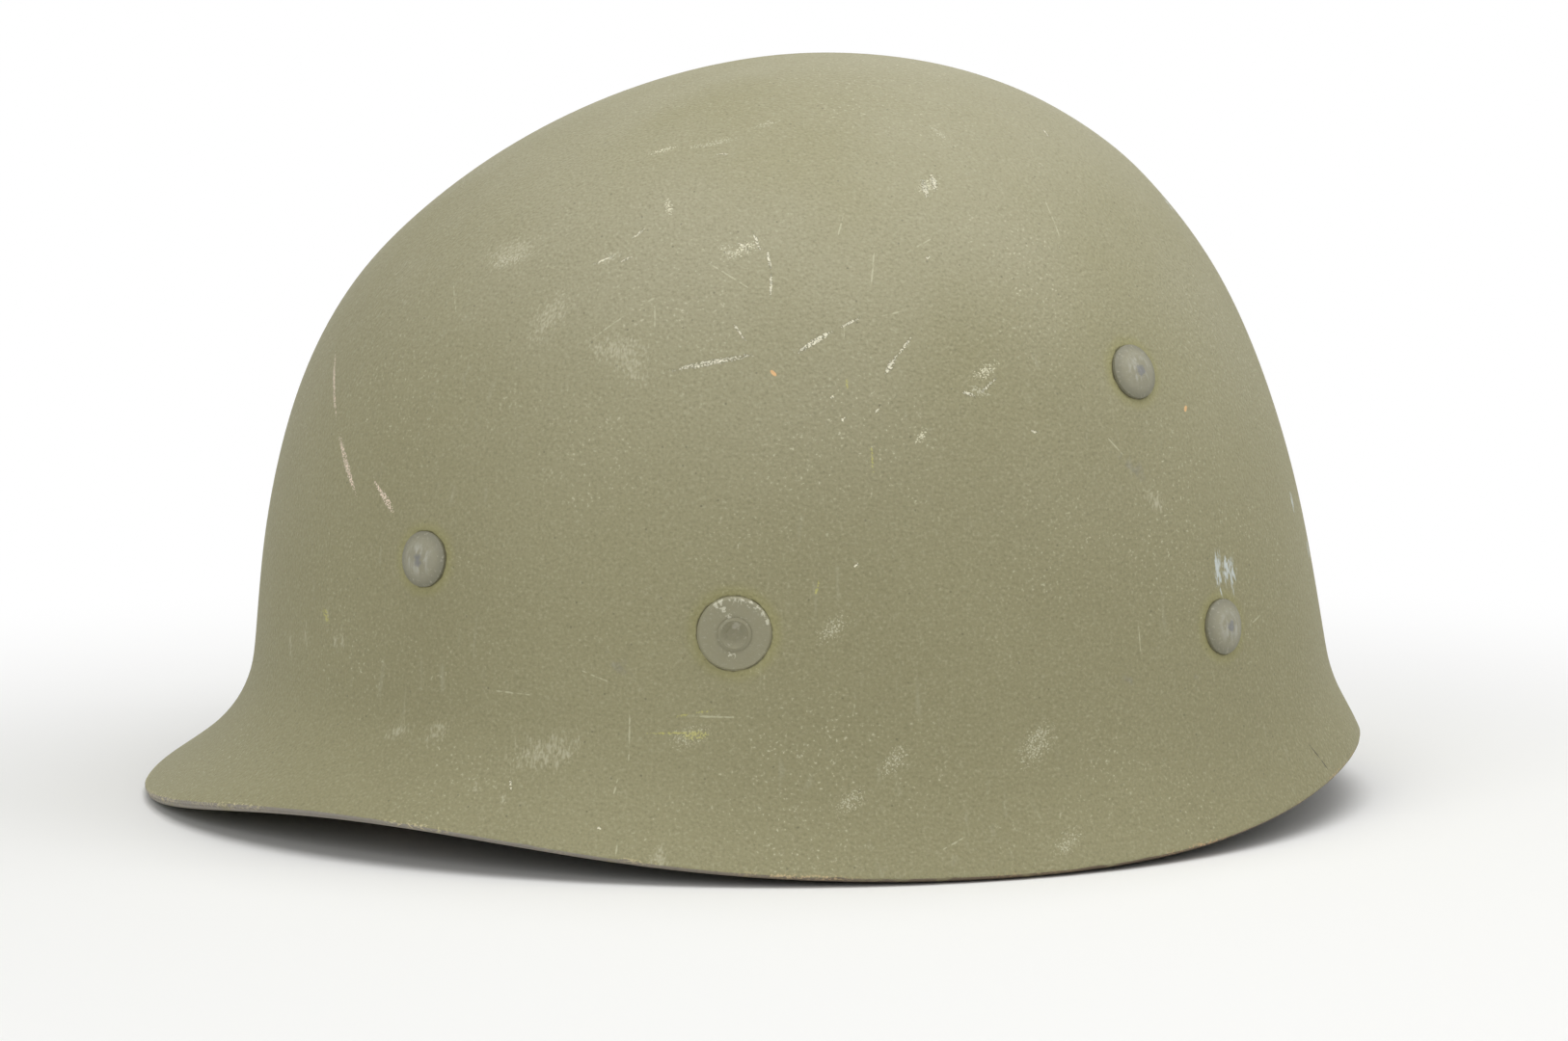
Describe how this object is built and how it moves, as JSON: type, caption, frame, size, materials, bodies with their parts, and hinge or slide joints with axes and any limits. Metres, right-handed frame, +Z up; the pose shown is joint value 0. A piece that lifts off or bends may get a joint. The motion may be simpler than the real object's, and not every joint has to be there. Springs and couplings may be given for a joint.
{
  "type": "helmet",
  "caption": "Riveted pot helmet with a peaked visor, webbing suspension, leather sweatband and a chin strap on side studs.",
  "frame": {"origin": "on the floor, under the middle of the helmet's outline", "axes": "-X towards the visor's tip, +X to the back, +Z up to the crown, -Y to the wearer's left"},
  "size_m": [0.276, 0.234, 0.167],
  "materials": {
    "shell_paint": "matt olive-drab paint on a resin-bonded cotton laminate",
    "rivet_paint": "painted domed rivet heads, worn grey",
    "washer_metal": "painted flat washer, worn",
    "stud_metal": "painted steel stud, worn",
    "hanger_steel": "olive painted pressed steel",
    "webbing": "khaki cotton herringbone webbing",
    "sweat_leather": "brown leather",
    "clip_steel": "dull plated spring steel",
    "strap_leather": "dark brown leather",
    "hook_steel": "blackened pressed steel",
    "brass": "dull brass",
    "buckle_steel": "blackened pressed steel"
  },
  "bodies": {
    "helmet": {"shell": "shell_paint", "front_rivet_left": "rivet_paint", "front_rivet_right": "rivet_paint", "rear_rivet_left": "rivet_paint", "rear_rivet_right": "rivet_paint", "nape_rivet_left": "rivet_paint", "nape_rivet_right": "rivet_paint", "stud_left": "stud_metal", "stud_right": "stud_metal", "stud_washer_left": "washer_metal", "stud_washer_right": "washer_metal", "front_hanger_left": "hanger_steel", "front_hanger_right": "hanger_steel", "rear_hanger_left": "hanger_steel", "rear_hanger_right": "hanger_steel", "nape_hanger_left": "hanger_steel", "nape_hanger_right": "hanger_steel", "front_loop_left": "webbing", "front_loop_right": "webbing", "rear_loop_left": "webbing", "rear_loop_right": "webbing", "nape_loop_left": "webbing", "nape_loop_right": "webbing", "head_band": "webbing", "crown_strap_left": "webbing", "crown_strap_right": "webbing", "crown_strap_side": "webbing", "crown_patch": "sweat_leather", "sweatband": "sweat_leather", "spring_clips": "clip_steel", "sweatband_keeper": "clip_steel"},
    "chin_strap": {"chin_strap": "strap_leather", "chin_hook_left": "hook_steel", "chin_hook_right": "hook_steel", "hook_rivet_left": "brass", "hook_rivet_right": "brass"},
    "chin_buckle": {"chin_buckle": "buckle_steel"}
  },
  "joints": [
    {"name": "chin_swing", "type": "hinge", "parent": "helmet", "child": "chin_strap", "pos_m": [-0.00327, 0, 0.0533], "axis": [0, -1, 0], "range_deg": [0, 98]},
    {"name": "buckle_slide", "type": "slide", "parent": "chin_strap", "child": "chin_buckle", "axis": [0, 1, 0], "range_m": [-0.012, 0.012]}
  ]
}
